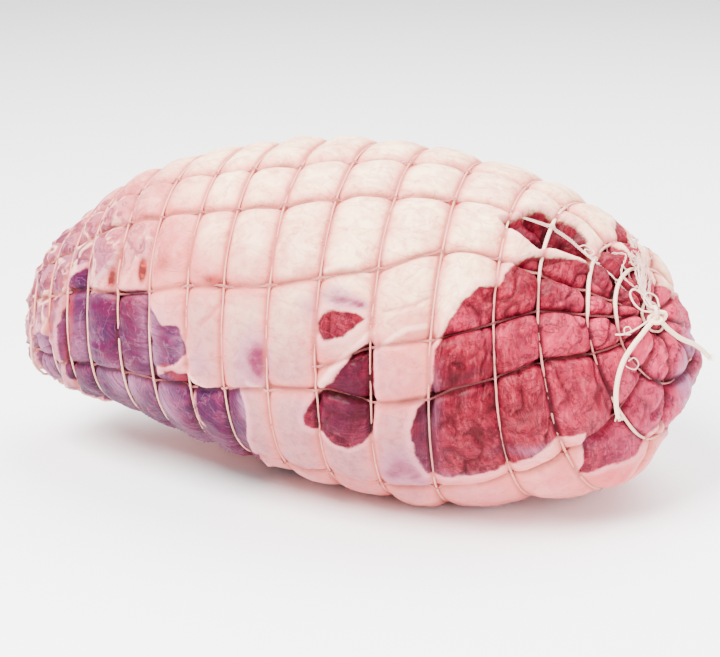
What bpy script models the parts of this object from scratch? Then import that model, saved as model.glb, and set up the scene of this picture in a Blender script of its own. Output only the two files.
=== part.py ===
"""Boned and rolled leg of lamb in an elastic net, built in metres with +Z up.

The shank end points to -X, the cut end with the tie points to +X and -Y is the front.
Lengths in the tables below are millimetres along the skin unless a name says otherwise.
"""
import math

import bmesh
import bpy
import numpy as np

MM = 0.001
DEG = math.pi / 180.0

# Cross sections of the meat: x, height of the middle, half height (mm).
SECTIONS = np.array((
    (-125.0, 49.5, 0.0),
    (-123.0, 49.5, 13.0),
    (-113.0, 55.5, 26.5),
    (-103.0, 57.5, 32.0),
    (-88.0, 62.5, 39.5),
    (-62.0, 65.0, 48.5),
    (-30.0, 64.5, 55.0),
    (5.0, 62.0, 59.0),
    (40.0, 58.0, 58.0),
    (70.0, 56.0, 51.0),
    (90.0, 52.5, 40.5),
    (104.0, 51.5, 28.0),
    (113.0, 52.0, 15.0),
    (118.0, 52.0, 0.0),
))
# Width of each section against its height.
WIDTH_RATIO = np.array((1.0, 1.0, 1.0, 1.02, 1.05, 1.08, 1.1, 1.12, 1.12, 1.1, 1.08, 1.05, 1.0, 1.0))
ROUND_TOP = 2.1
ROUND_BOTTOM = 2.3
SINK = 3.5

# Hoops of the net, as distance along the skin from the shank tip (mm).
HOOPS = np.array((
    27.0, 37.5, 47.0, 58.0, 73.0, 86.7, 102.0, 115.5,
    132.0, 149.3, 167.6, 186.6, 212.5, 232.3, 255.9, 270.4,
))
SHANK_LOOP = 10.0
CUT_LOOP = 286.5
CORD_ROWS = np.concatenate(([SHANK_LOOP], HOOPS, [CUT_LOOP]))
# The net closes off centre at the cut end: start of that area and the shift of its centre.
CAP_START = 188.6
KNOT_SHIFT = 0.316
KNOT_ANGLE = 53.0

# Lengthwise strands seen from the front: angle above the front line at each station (degrees).
STRAND_STATION = np.array((0.0, 47.0, 73.0, 102.0, 132.0, 149.3, 167.6, 186.6, 212.5, 232.3, 292.4))
STRAND_LOW = np.array((-24.0, -22.0, -21.0, -17.0, -9.0, -6.0, -6.0, -2.0, 0.0, 3.0, -6.0))
STRAND_SPLIT = np.array((-8.0, -4.0, -4.0, -2.0, 3.0, 0.0, 9.0, 15.0, 20.0, 25.0, 24.0))
STRAND_MID = np.array((18.0, 19.0, 14.0, 19.0, 23.0, 28.0, 34.0, 44.0, 45.0, 43.0, 43.0))
STRAND_HIGH = np.array((46.0, 47.0, 47.0, 49.0, 52.0, 57.0, 62.0, 66.0, 69.0, 70.0, 70.0))
STRAND_TOP = np.array((66.0, 67.0, 68.0, 70.0, 73.0, 78.0, 83.0, 87.0, 91.0, 93.0, 94.0))
HIDDEN_STRANDS = 6
SPLIT_HOOP = 9

# Relief of the meat between the cords (mm).
CROWN = 1.2
CROWN_LEVEL = -0.8
HOOP_GROOVE = 3.4
STRAND_GROOVE = 2.5
HOOP_GROOVE_WIDTH = 2.6
STRAND_GROOVE_WIDTH = 2.1

# Pocket under the fat flap: station, angle, half length, half width, depth (mm and degrees).
POCKET_STATION = 219.0
POCKET_ANGLE = 61.0
POCKET_HALF_LENGTH = 20.0
POCKET_HALF_WIDTH = 6.5
POCKET_DEPTH = 12.0
POCKET_RADIUS = 48.0

# Soft lumps: x, y, z of the centre, radius, push in x, y, z (mm).
LUMPS = (
    (-24.0, 16.0, 6.0, 30.0, 0.0, 0.0, -9.0),
    (12.0, 0.0, 0.0, 27.0, 0.0, 0.0, -2.5),
    (95.0, -24.0, 20.5, 17.0, 2.0, -2.0, -5.0),
    (100.0, 6.0, 80.5, 15.0, 1.5, 0.0, 2.0),
)

# Elastic net and tie (mm).
CORD_HALF_WIDTH = 0.8
CORD_HALF_HEIGHT = 0.7
HOOP_DEPTH = 1.9
STRAND_DEPTH = 1.2
END_REACH = 34.0
END_LIFT = 0.85
NET_FLOOR = 0.85
GROOVE_FLOOR = 3.1
TIE_STATION = 258.0
TIE_ANGLE = 46.5
TIE_RADIUS = 0.85
TIE_HEIGHT = 3.1
# The knot is pulled tight, so its cord is thinner there. Its strands stay clear of each other.
KNOT_RADIUS = 0.7
KNOT_SCALE = 1.05
KNOT_DEPTH = 1.5
KNOT_POINTS = 36

MEAT_GAP_STEPS = (1, 4, 2, 2, 2, 4, 4, 4, 4, 4, 4, 4, 4, 5, 4, 4, 3, 3, 1)
MEAT_CELL_STEPS = (3, 4, 4, 4, 5, 5, 5, 5, 5, 5, 5)
NET_GAP_STEPS = (3, 1, 1, 1, 2, 2, 2, 2, 2, 2, 2, 2, 2, 2, 2, 2, 2)
NET_CELL_STEPS = (1, 2, 2, 2, 3, 3, 3, 3, 3, 3, 3)

TAIL_FRONT = (
    (255.3, 38.0, 2.4),
    (253.6, 33.0, 2.2),
    (250.6, 25.5, 2.0),
    (248.0, 18.5, 2.0),
    (246.4, 11.0, 2.0),
    (245.8, 3.0, 2.0),
    (246.2, -2.5, 2.0),
    (246.8, -6.5, 2.1),
)
TAIL_SIDE = (
    (262.8, 43.7, 2.5),
    (265.6, 42.4, 2.3),
    (269.0, 41.2, 2.2),
    (273.0, 41.0, 2.4),
    (276.5, 42.5, 2.8),
    (280.0, 43.5, 3.2),
    (283.5, 42.5, 3.7),
    (286.2, 40.0, 4.1),
)


def smooth(stations, values, at, crosses_zero=False):
    """Smooth curve through the values, mirrored at both ends."""
    sign = -1.0 if crosses_zero else 1.0
    k = np.concatenate(([2 * stations[0] - stations[1]], stations, [2 * stations[-1] - stations[-2]]))
    v = np.concatenate(([sign * values[1]], values, [sign * values[-2]]))
    step = np.diff(k)
    rate = np.diff(v) / step
    slope = np.zeros(len(v))
    slope[1:-1] = (rate[:-1] * step[1:] + rate[1:] * step[:-1]) / (step[1:] + step[:-1])
    i = np.clip(np.searchsorted(k, at, side="right") - 1, 1, len(k) - 3)
    w = (at - k[i]) / step[i]
    a = 2 * w ** 3 - 3 * w ** 2 + 1
    b = (w ** 3 - 2 * w ** 2 + w) * step[i]
    c = (w ** 3 - w ** 2) * step[i]
    return a * v[i] + b * slope[i] + (1 - a) * v[i + 1] + c * slope[i + 1]


def section_stations():
    """Distance of each section along the skin."""
    steps = np.hypot(np.diff(SECTIONS[:, 0]), np.diff(SECTIONS[:, 2]))
    return np.concatenate(([0.0], np.cumsum(steps)))


STATIONS = section_stations()
SKIN_END = STATIONS[-1]


def body(t, angle):
    """Point on the plain body: t along the skin (mm), angle from the front (radians)."""
    x = smooth(STATIONS, SECTIONS[:, 0], t)
    mid = smooth(STATIONS, SECTIONS[:, 1], t) - SINK
    high = np.abs(smooth(STATIONS, SECTIONS[:, 2], t, True))
    wide = np.abs(smooth(STATIONS, SECTIONS[:, 2] * WIDTH_RATIO, t, True))
    c = np.cos(angle)
    s = np.sin(angle)
    power = 2.0 / np.where(s > 0, ROUND_TOP, ROUND_BOTTOM)
    y = -np.sign(c) * np.abs(c) ** power * wide
    z = mid + np.sign(s) * np.abs(s) ** power * high
    p = np.stack(np.broadcast_arrays(x, y, z), -1)
    push = np.zeros_like(p)
    for lx, ly, lz, radius, px, py, pz in LUMPS:
        away = np.linalg.norm(p - (lx, ly, lz), axis=-1)
        push += np.exp(-(away / radius) ** 2)[..., None] * (px, py, pz)
    return p + push


def under_net(s, angle):
    """Turn net coordinates into body coordinates: the net closes off centre at the cut end."""
    span = SKIN_END - CAP_START
    ring = np.clip((SKIN_END - s) / span, 0.0, 1.0)
    shift = (1.0 - ring) * KNOT_SHIFT
    qx = shift * math.cos(KNOT_ANGLE * DEG) + ring * np.cos(angle)
    qz = shift * math.sin(KNOT_ANGLE * DEG) + ring * np.sin(angle)
    t = np.where(s > CAP_START, SKIN_END - np.hypot(qx, qz) * span, s)
    phi = np.where(s > CAP_START, np.arctan2(qz, qx), angle)
    return t, phi


def skin(s, angle):
    """Point on the plain body under a point of the net."""
    return body(*under_net(s, angle))


def skin_normal(s, angle):
    """Outward direction of the plain body under a point of the net."""
    e = 0.4
    s = np.clip(s, 2 * e, SKIN_END - 2 * e)
    along = skin(s + e, angle) - skin(s - e, angle)
    turn = e / 30.0
    across = skin(s, angle + turn) - skin(s, angle - turn)
    n = np.cross(along, across)
    return n / np.maximum(np.linalg.norm(n, axis=-1, keepdims=True), 1e-9)


def strand_angles(s):
    """Angle of every strand line at station s, going up from the low front strand (radians)."""
    front = []
    for row in (STRAND_LOW, STRAND_SPLIT, STRAND_MID, STRAND_HIGH, STRAND_TOP):
        front.append(smooth(STRAND_STATION, row, s))
    low = front[0] + 360.0
    top = front[-1]
    lines = list(front)
    for k in range(1, HIDDEN_STRANDS + 1):
        lines.append(top + (low - top) * k / (HIDDEN_STRANDS + 1))
    lines.append(low)
    return np.stack(lines, 0) * DEG


def angle_at(s, column):
    """Angle at strand coordinate column, where whole numbers lie on strands."""
    lines = strand_angles(s)
    i = np.clip(np.floor(column).astype(int), 0, len(lines) - 2)
    f = column - i
    low = np.take_along_axis(lines, i[None], 0)[0]
    high = np.take_along_axis(lines, i[None] + 1, 0)[0]
    return low + (high - low) * f


def relief(s, column, angle):
    """Height of the meat over the plain body, and how much a point lies in a groove."""
    edges = np.concatenate(([0.0], CORD_ROWS, [SKIN_END]))
    gap = np.clip(np.searchsorted(edges, s, side="right") - 1, 0, len(edges) - 2)
    f = (s - edges[gap]) / (edges[gap + 1] - edges[gap])
    to_hoop = np.min(np.abs(s[..., None] - CORD_ROWS), -1)
    p = skin(s, angle)
    t, phi = under_net(s, angle)
    radius = np.abs(smooth(STATIONS, SECTIONS[:, 2], t, True))
    reach = np.where(s > CAP_START, SKIN_END - s, radius)
    lines = strand_angles(s)
    joined = s < HOOPS[SPLIT_HOOP]
    keep = np.ones(len(lines), bool)
    keep[1] = False
    to_any = np.min(np.abs(lines - angle), 0)
    to_kept = np.min(np.abs(lines[keep] - angle), 0)
    to_strand = np.where(joined, to_kept, to_any) * reach
    hoop = np.exp(-(to_hoop / HOOP_GROOVE_WIDTH) ** 2)
    strand = np.exp(-(to_strand / STRAND_GROOVE_WIDTH) ** 2)
    g = column - np.floor(column)
    wide = np.where(joined & (column < 2), column / 2.0, g)
    crown = (1 - np.abs(2 * f - 1) ** 2.5) * (1 - np.abs(2 * wide - 1) ** 2.5)
    groove = np.maximum(hoop * HOOP_GROOVE, strand * STRAND_GROOVE)
    across = (phi / DEG - POCKET_ANGLE) * DEG * POCKET_RADIUS / POCKET_HALF_WIDTH
    along = (t - POCKET_STATION) / POCKET_HALF_LENGTH
    inside = np.exp(-(np.abs(along) ** 4) - np.abs(across) ** 4)
    height = CROWN_LEVEL + CROWN * crown - groove - POCKET_DEPTH * inside
    return p, height, np.maximum(hoop, strand)


def meat_points(s, column):
    """Points of the meat skin with its relief, resting on z = 0 (mm)."""
    angle = angle_at(s, column)
    p, height, groove = relief(s, column, angle)
    p = p + skin_normal(s, angle) * height[..., None]
    p[..., 2] = np.maximum(p[..., 2], GROOVE_FLOOR * groove ** 3)
    return p


def net_points(s, column):
    """Points on the middle of the net cords (mm)."""
    angle = angle_at(s, column)
    p = skin(s, angle)
    to_hoop = np.min(np.abs(s[..., None] - CORD_ROWS), -1)
    hoop = np.exp(-(to_hoop / 3.0) ** 2)
    depth = STRAND_DEPTH + (HOOP_DEPTH - STRAND_DEPTH) * hoop
    near_end = np.minimum(s, 1.4 * (SKIN_END - s)) / END_REACH
    depth = depth * (1.0 - END_LIFT * np.exp(-near_end ** 2))
    p = p - skin_normal(s, angle) * depth[..., None]
    p[..., 2] = np.maximum(p[..., 2], NET_FLOOR)
    return p


def stations_between(edges, steps):
    """Stations with the given number of steps in every gap."""
    rows = [edges[0]]
    for low, high, count in zip(edges[:-1], edges[1:], steps):
        for k in range(1, count + 1):
            rows.append(low + (high - low) * k / count)
    return np.array(rows)


def wrapped_sphere(rows, columns):
    """A UV sphere whose rings stand for rows and whose segments stand for columns."""
    bm = bmesh.new()
    bmesh.ops.create_uvsphere(bm, u_segments=len(columns), v_segments=len(rows) - 1, radius=1.0)
    grid = {}
    for v in bm.verts:
        ring = round(math.acos(max(-1.0, min(1.0, v.co.z))) / math.pi * (len(rows) - 1))
        turn = math.atan2(-v.co.x, v.co.y) / (2 * math.pi) * len(columns)
        grid[v] = (ring, round(turn) % len(columns))
    return bm, grid


def place(bm, grid, rows, columns, points):
    """Move every vertex of the sphere to its point on the joint."""
    verts = list(bm.verts)
    s = np.array([rows[grid[v][0]] for v in verts])
    column = np.array([columns[grid[v][1]] for v in verts])
    for v, co in zip(verts, points(s, column)):
        v.co = co * MM
    for v in verts:
        if grid[v][0] in (0, len(rows) - 1):
            ring = [e.other_vert(v).co for e in v.link_edges]
            centre = sum(ring, ring[0] * 0.0) / len(ring)
            v.co = centre + (v.co - centre) * 0.35


def material(name, colour, roughness):
    """Plain Principled material."""
    mat = bpy.data.materials.new(name)
    mat.use_nodes = True
    shader = mat.node_tree.nodes["Principled BSDF"]
    shader.inputs["Base Color"].default_value = (*colour, 1.0)
    shader.inputs["Roughness"].default_value = roughness
    return mat


def mesh_object(name, bm, mat, collection):
    """Finish a mesh and link it."""
    bmesh.ops.recalc_face_normals(bm, faces=bm.faces)
    mesh = bpy.data.meshes.new(name)
    bm.to_mesh(mesh)
    bm.free()
    obj = bpy.data.objects.new(name, mesh)
    obj.data.materials.append(mat)
    collection.objects.link(obj)
    return obj


def cord_object(name, points, radius, closed, sides, mat, collection):
    """Round cord along points given in mm."""
    curve = bpy.data.curves.new(name, "CURVE")
    curve.dimensions = "3D"
    curve.bevel_depth = radius * MM
    curve.bevel_resolution = sides
    curve.use_fill_caps = not closed
    spline = curve.splines.new("POLY")
    spline.points.add(len(points) - 1)
    for point, co in zip(spline.points, points):
        point.co = (co[0] * MM, co[1] * MM, co[2] * MM, 1.0)
    spline.use_cyclic_u = closed
    obj = bpy.data.objects.new(name, curve)
    obj.data.materials.append(mat)
    collection.objects.link(obj)
    return obj


def meat(collection, mat):
    """The boned and rolled meat with its pillows, grooves and pocket."""
    edges = np.concatenate(([0.0], CORD_ROWS, [SKIN_END]))
    rows = stations_between(edges, MEAT_GAP_STEPS)
    columns = stations_between(np.arange(len(MEAT_CELL_STEPS) + 1.0), MEAT_CELL_STEPS)[:-1]
    bm, grid = wrapped_sphere(rows, columns)
    place(bm, grid, rows, columns, meat_points)
    return mesh_object("joint", bm, mat, collection)


def net(collection, mat):
    """Elastic hoops and knitted strands as one lattice."""
    inner = stations_between(CORD_ROWS, NET_GAP_STEPS)
    rows = np.concatenate(([0.0], inner, [SKIN_END]))
    columns = stations_between(np.arange(len(NET_CELL_STEPS) + 1.0), NET_CELL_STEPS)[:-1]
    bm, grid = wrapped_sphere(rows, columns)
    place(bm, grid, rows, columns, net_points)
    poles = [v for v in bm.verts if grid[v][0] in (0, len(rows) - 1)]
    cells = {}
    for face in bm.faces:
        if any(v in poles for v in face.verts):
            continue
        s = np.mean([rows[grid[v][0]] for v in face.verts])
        turns = sorted(grid[v][1] for v in face.verts)
        low = turns[-1] if turns[-1] - turns[0] > 1 else turns[0]
        cell = int(columns[low] + 1e-6)
        gap = int(np.searchsorted(HOOPS, s))
        if gap <= SPLIT_HOOP and cell == 1:
            cell = 0
        cells.setdefault((gap, cell), []).append(face)
    bmesh.ops.delete(bm, geom=poles, context="VERTS")
    for faces in cells.values():
        bmesh.ops.dissolve_faces(bm, faces=faces, use_verts=False)
    cords_from_cells(bm)
    return mesh_object("net", bm, mat, collection)


def cords_from_cells(bm):
    """Replace the cells by cords of diamond section along their edges."""
    lines = list(bm.verts)
    bm.normal_update()
    lift = {v: v.normal * (CORD_HALF_HEIGHT * MM) for v in lines}
    cells = list(bm.faces)
    bmesh.ops.inset_individual(bm, faces=cells, thickness=CORD_HALF_WIDTH * MM, use_even_offset=True)
    bmesh.ops.delete(bm, geom=cells, context="FACES_ONLY")
    rims = [v for v in bm.verts if v not in lift]
    geom = list(bm.verts) + list(bm.edges) + list(bm.faces)
    copy = bmesh.ops.duplicate(bm, geom=geom)
    twin = copy["vert_map"]
    under = [f for f in copy["geom"] if isinstance(f, bmesh.types.BMFace)]
    bmesh.ops.reverse_faces(bm, faces=under)
    for v in lines:
        v.co += lift[v]
        twin[v].co -= lift[v]
    bmesh.ops.weld_verts(bm, targetmap={twin[v]: v for v in rims})
    open_edges = [e for e in bm.edges if len(e.link_faces) == 1]
    for side in (-1, 1):
        loop = [e for e in open_edges if e.verts[0].co.x * side > 0]
        bmesh.ops.bridge_loops(bm, edges=loop)


def off_skin(rows):
    """Points over the plain body: station, angle in degrees, height."""
    out = []
    for t, angle, height in rows:
        a = np.array(angle * DEG)
        t = np.array(float(t))
        e = 0.5
        along = body(t + e, a) - body(t - e, a)
        across = body(t, a + e / 30.0) - body(t, a - e / 30.0)
        n = np.cross(along, across)
        out.append(body(t, a) + n / np.linalg.norm(n) * height)
    return out


def tie(collection, mat):
    """Knot at the gathered end of the net, with its two loose tails."""
    centre = off_skin(((TIE_STATION, TIE_ANGLE, TIE_HEIGHT),))[0]
    base = off_skin(((TIE_STATION, TIE_ANGLE, 0.0),))[0]
    up = (centre - base) / np.linalg.norm(centre - base)
    side = np.cross(up, (0.0, 0.0, 1.0))
    side /= np.linalg.norm(side)
    third = np.cross(up, side)
    loop = []
    for k in range(KNOT_POINTS):
        a = 2 * math.pi * k / KNOT_POINTS
        x = math.sin(a) + 2 * math.sin(2 * a)
        y = math.cos(a) - 2 * math.cos(2 * a)
        z = -KNOT_DEPTH * math.sin(3 * a)
        loop.append(centre + KNOT_SCALE * (x * side + y * third + z * up))
    cord_object("tie_knot", loop, KNOT_RADIUS, True, 1, mat, collection)
    cord_object("tail_front", off_skin(TAIL_FRONT), TIE_RADIUS, False, 2, mat, collection)
    cord_object("tail_side", off_skin(TAIL_SIDE), TIE_RADIUS, False, 2, mat, collection)


def centre_frame(collection):
    """Put the middle of the box of the meat and net on the origin, its bottom on z = 0."""
    bpy.context.view_layer.update()
    depsgraph = bpy.context.evaluated_depsgraph_get()
    low = np.full(3, 1e9)
    high = np.full(3, -1e9)
    for obj in collection.objects:
        if obj.name.startswith("tail"):
            continue
        shape = obj.evaluated_get(depsgraph)
        mesh = shape.to_mesh()
        co = np.empty(len(mesh.vertices) * 3)
        mesh.vertices.foreach_get("co", co)
        co = co.reshape(-1, 3)
        low = np.minimum(low, co.min(0))
        high = np.maximum(high, co.max(0))
        shape.to_mesh_clear()
    shift = ((low[0] + high[0]) / 2, (low[1] + high[1]) / 2, low[2])
    for obj in collection.objects:
        if obj.type == "MESH":
            for v in obj.data.vertices:
                v.co.x -= shift[0]
                v.co.y -= shift[1]
                v.co.z -= shift[2]
        else:
            for point in obj.data.splines[0].points:
                point.co.x -= shift[0]
                point.co.y -= shift[1]
                point.co.z -= shift[2]


def main():
    """Build the part."""
    for obj in list(bpy.data.objects):
        bpy.data.objects.remove(obj)
    collection = bpy.data.collections.new("rolled_leg_of_lamb")
    bpy.context.scene.collection.children.link(collection)
    meat(collection, material("raw_lamb", (0.62, 0.28, 0.27), 0.42))
    net(collection, material("elastic_net", (0.86, 0.8, 0.72), 0.75))
    tie(collection, material("cotton_tie", (0.84, 0.8, 0.7), 0.8))
    centre_frame(collection)


main()
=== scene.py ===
"""Raw boned leg of lamb, rolled in an elastic net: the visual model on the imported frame.

The shape functions are those of the CAD source. Tables are millimetres and degrees;
everything is turned into metres in the row frame when a mesh is made.
"""
import math

import bpy
import numpy as np
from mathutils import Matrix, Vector


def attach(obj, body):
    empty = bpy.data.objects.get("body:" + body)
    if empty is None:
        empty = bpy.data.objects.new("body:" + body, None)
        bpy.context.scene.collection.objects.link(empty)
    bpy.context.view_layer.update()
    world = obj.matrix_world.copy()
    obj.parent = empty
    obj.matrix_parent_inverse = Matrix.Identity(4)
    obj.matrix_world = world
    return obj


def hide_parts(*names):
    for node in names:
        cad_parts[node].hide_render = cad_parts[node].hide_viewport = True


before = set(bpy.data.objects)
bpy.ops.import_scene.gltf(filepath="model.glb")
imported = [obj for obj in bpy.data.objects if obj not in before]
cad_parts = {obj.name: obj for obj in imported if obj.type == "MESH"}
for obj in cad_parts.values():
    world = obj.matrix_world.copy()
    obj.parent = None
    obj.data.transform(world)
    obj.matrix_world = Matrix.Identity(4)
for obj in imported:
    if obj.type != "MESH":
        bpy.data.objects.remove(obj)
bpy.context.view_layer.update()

MM = 0.001
DEG = math.pi / 180.0
# Where the CAD source put the origin, in its own coordinates (mm).
FRAME_SHIFT = np.array((-3.09, 0.057, 0.0))

# Cross sections of the meat: x, height of the middle, half height (mm).
SECTIONS = np.array((
    (-125.0, 49.5, 0.0),
    (-123.0, 49.5, 13.0),
    (-113.0, 55.5, 26.5),
    (-103.0, 57.5, 32.0),
    (-88.0, 62.5, 39.5),
    (-62.0, 65.0, 48.5),
    (-30.0, 64.5, 55.0),
    (5.0, 62.0, 59.0),
    (40.0, 58.0, 58.0),
    (70.0, 56.0, 51.0),
    (90.0, 52.5, 40.5),
    (104.0, 51.5, 28.0),
    (113.0, 52.0, 15.0),
    (118.0, 52.0, 0.0),
))
# Width of each section against its height.
WIDTH_RATIO = np.array((1.0, 1.0, 1.0, 1.02, 1.05, 1.08, 1.1, 1.12, 1.12, 1.1, 1.08, 1.05, 1.0, 1.0))
ROUND_TOP = 2.1
ROUND_BOTTOM = 2.3
SINK = 3.5

# Hoops of the net, as distance along the skin from the shank tip (mm).
HOOPS = np.array((
    27.0, 37.5, 47.0, 58.0, 73.0, 86.7, 102.0, 115.5,
    132.0, 149.3, 167.6, 186.6, 212.5, 232.3, 255.9, 270.4,
))
# The smallest rings, at the shank end and under the knot.
SHANK_LOOP = 10.0
CUT_LOOP = 286.5
CORD_ROWS = np.concatenate(([SHANK_LOOP], HOOPS, [CUT_LOOP]))
# The net closes off centre at the cut end: start of that area and the shift of its centre.
CAP_START = 188.6
KNOT_SHIFT = 0.316
KNOT_ANGLE = 53.0

# Lengthwise strands seen from the front: angle above the front line at each station (degrees).
STRAND_STATION = np.array((0.0, 47.0, 73.0, 102.0, 132.0, 149.3, 167.6, 186.6, 212.5, 232.3, 292.4))
STRAND_LOW = np.array((-24.0, -22.0, -21.0, -17.0, -9.0, -6.0, -6.0, -2.0, 0.0, 3.0, -6.0))
STRAND_SPLIT = np.array((-8.0, -4.0, -4.0, -2.0, 3.0, 0.0, 9.0, 15.0, 20.0, 25.0, 24.0))
STRAND_MID = np.array((18.0, 19.0, 14.0, 19.0, 23.0, 28.0, 34.0, 44.0, 45.0, 43.0, 43.0))
STRAND_HIGH = np.array((46.0, 47.0, 47.0, 49.0, 52.0, 57.0, 62.0, 66.0, 69.0, 70.0, 70.0))
STRAND_TOP = np.array((66.0, 67.0, 68.0, 70.0, 73.0, 78.0, 83.0, 87.0, 91.0, 93.0, 94.0))
HIDDEN_STRANDS = 6
STRANDS = 5 + HIDDEN_STRANDS
# One more strand starts at this hoop.
SPLIT_HOOP = 9
# How deep the cords lie in the skin, and how far from the ends they start to come up to it.
HOOP_SINK = 1.75
STRAND_SINK = 1.95
END_REACH = 34.0
# The hoop with a stretch buried in the meat, and the clean stretch of the strands.
BURIED_HOOP = 15
CLEAN_STRAND = ((221, 64, 13, 12, 1.0),)
# Loose hairs at a tip, and their length.
FRAY_HAIRS = 14
FRAY_REACH = 2.4

# Soft lumps: x, y, z of the centre, radius, push in x, y, z (mm).
LUMPS = (
    (-24.0, 16.0, 6.0, 30.0, 0.0, 0.0, -9.0),
    (12.0, 0.0, 0.0, 27.0, 0.0, 0.0, -2.5),
    (95.0, -24.0, 20.5, 17.0, 2.0, -2.0, -5.0),
    (100.0, 6.0, 80.5, 15.0, 1.5, 0.0, 2.0),
)

# The knot: place and height over the skin, then the cord of the tails and of the knot.
TIE_STATION = 258.0
TIE_ANGLE = 46.5
TIE_HEIGHT = 3.1
TIE_RADIUS = 0.85
KNOT_RADIUS = 0.7
KNOT_SCALE = 1.05
KNOT_DEPTH = 1.5
# Routes of the tails: station and angle on the skin, and height over it.
TAIL_FRONT = (
    (255.3, 38.0, 2.4), (253.6, 33.0, 2.2), (250.6, 25.5, 2.0), (248.0, 18.5, 2.0),
    (246.4, 11.0, 2.0), (245.8, 3.0, 2.0), (246.2, -2.5, 2.0), (246.8, -6.5, 2.1),
)
TAIL_SIDE = (
    (262.8, 43.7, 2.5), (265.6, 42.4, 2.3), (269.0, 41.2, 2.2), (273.0, 41.0, 2.4),
    (276.5, 42.5, 2.8), (280.0, 43.5, 3.2), (283.5, 42.5, 3.7), (286.2, 40.0, 4.1),
)


def cubic(w, span, start, end, slope_start, slope_end):
    """Cubic from start to end, with a slope at each."""
    a = 2 * w ** 3 - 3 * w ** 2 + 1
    b = (w ** 3 - 2 * w ** 2 + w) * span
    c = (w ** 3 - w ** 2) * span
    return a * start + b * slope_start + (1 - a) * end + c * slope_end


def smooth(stations, values, at, crosses_zero=False):
    """Smooth curve through the values, mirrored at both ends."""
    sign = -1.0 if crosses_zero else 1.0
    k = np.concatenate(([2 * stations[0] - stations[1]], stations, [2 * stations[-1] - stations[-2]]))
    v = np.concatenate(([sign * values[1]], values, [sign * values[-2]]))
    step = np.diff(k)
    rate = np.diff(v) / step
    slope = np.zeros(len(v))
    slope[1:-1] = (rate[:-1] * step[1:] + rate[1:] * step[:-1]) / (step[1:] + step[:-1])
    i = np.clip(np.searchsorted(k, at, side="right") - 1, 1, len(k) - 3)
    w = (at - k[i]) / step[i]
    return cubic(w, step[i], v[i], v[i + 1], slope[i], slope[i + 1])


def section_stations():
    """Distance of each section along the skin."""
    steps = np.hypot(np.diff(SECTIONS[:, 0]), np.diff(SECTIONS[:, 2]))
    return np.concatenate(([0.0], np.cumsum(steps)))


STATIONS = section_stations()
SKIN_END = STATIONS[-1]


def body(t, angle):
    """Point on the plain body: t along the skin (mm), angle from the front (radians)."""
    x = smooth(STATIONS, SECTIONS[:, 0], t)
    mid = smooth(STATIONS, SECTIONS[:, 1], t) - SINK
    high = np.abs(smooth(STATIONS, SECTIONS[:, 2], t, True))
    wide = np.abs(smooth(STATIONS, SECTIONS[:, 2] * WIDTH_RATIO, t, True))
    c = np.cos(angle)
    s = np.sin(angle)
    power = 2.0 / np.where(s > 0, ROUND_TOP, ROUND_BOTTOM)
    y = -np.sign(c) * np.abs(c) ** power * wide
    z = mid + np.sign(s) * np.abs(s) ** power * high
    p = np.stack(np.broadcast_arrays(x, y, z), -1)
    push = np.zeros_like(p)
    for lx, ly, lz, radius, px, py, pz in LUMPS:
        away = np.linalg.norm(p - (lx, ly, lz), axis=-1)
        push += np.exp(-(away / radius) ** 2)[..., None] * (px, py, pz)
    return p + push


def under_net(s, angle):
    """Turn net coordinates into body coordinates: the net closes off centre at the cut end."""
    span = SKIN_END - CAP_START
    ring = np.clip((SKIN_END - s) / span, 0.0, 1.0)
    shift = (1.0 - ring) * KNOT_SHIFT
    qx = shift * math.cos(KNOT_ANGLE * DEG) + ring * np.cos(angle)
    qz = shift * math.sin(KNOT_ANGLE * DEG) + ring * np.sin(angle)
    t = np.where(s > CAP_START, SKIN_END - np.hypot(qx, qz) * span, s)
    phi = np.where(s > CAP_START, np.arctan2(qz, qx), angle)
    return t, phi


def skin(s, angle):
    """Point on the plain body under a point of the net."""
    return body(*under_net(s, angle))


def skin_normal(s, angle):
    """Outward direction of the plain body under a point of the net."""
    e = 0.4
    s = np.clip(s, 2 * e, SKIN_END - 2 * e)
    along = skin(s + e, angle) - skin(s - e, angle)
    turn = e / 30.0
    across = skin(s, angle + turn) - skin(s, angle - turn)
    n = np.cross(along, across)
    return n / np.maximum(np.linalg.norm(n, axis=-1, keepdims=True), 1e-9)


def strand_angles(s):
    """Angle of every strand line at station s, going up from the low front strand (radians)."""
    front = []
    for row in (STRAND_LOW, STRAND_SPLIT, STRAND_MID, STRAND_HIGH, STRAND_TOP):
        front.append(smooth(STRAND_STATION, row, s))
    low = front[0] + 360.0
    top = front[-1]
    lines = list(front)
    for k in range(1, HIDDEN_STRANDS + 1):
        lines.append(top + (low - top) * k / (HIDDEN_STRANDS + 1))
    lines.append(low)
    return np.stack(lines, 0) * DEG


def angle_at(s, column):
    """Angle at strand coordinate column, where whole numbers lie on strands."""
    lines = strand_angles(s)
    i = np.clip(np.floor(column).astype(int), 0, len(lines) - 2)
    f = column - i
    low = np.take_along_axis(lines, i[None], 0)[0]
    high = np.take_along_axis(lines, i[None] + 1, 0)[0]
    return low + (high - low) * f


def off_skin(rows):
    """Points over the plain body: station, angle in degrees, height."""
    out = []
    for t, angle, height in rows:
        a = np.array(angle * DEG)
        t = np.array(float(t))
        e = 0.5
        along = body(t + e, a) - body(t - e, a)
        across = body(t, a + e / 30.0) - body(t, a - e / 30.0)
        n = np.cross(along, across)
        out.append(body(t, a) + n / np.linalg.norm(n) * height)
    return out


def radius_at(t):
    """Half height of the body at a station, used to turn angles into millimetres."""
    return np.maximum(np.abs(smooth(STATIONS, SECTIONS[:, 2], t, True)), 4.0)


# Noise.


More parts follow.
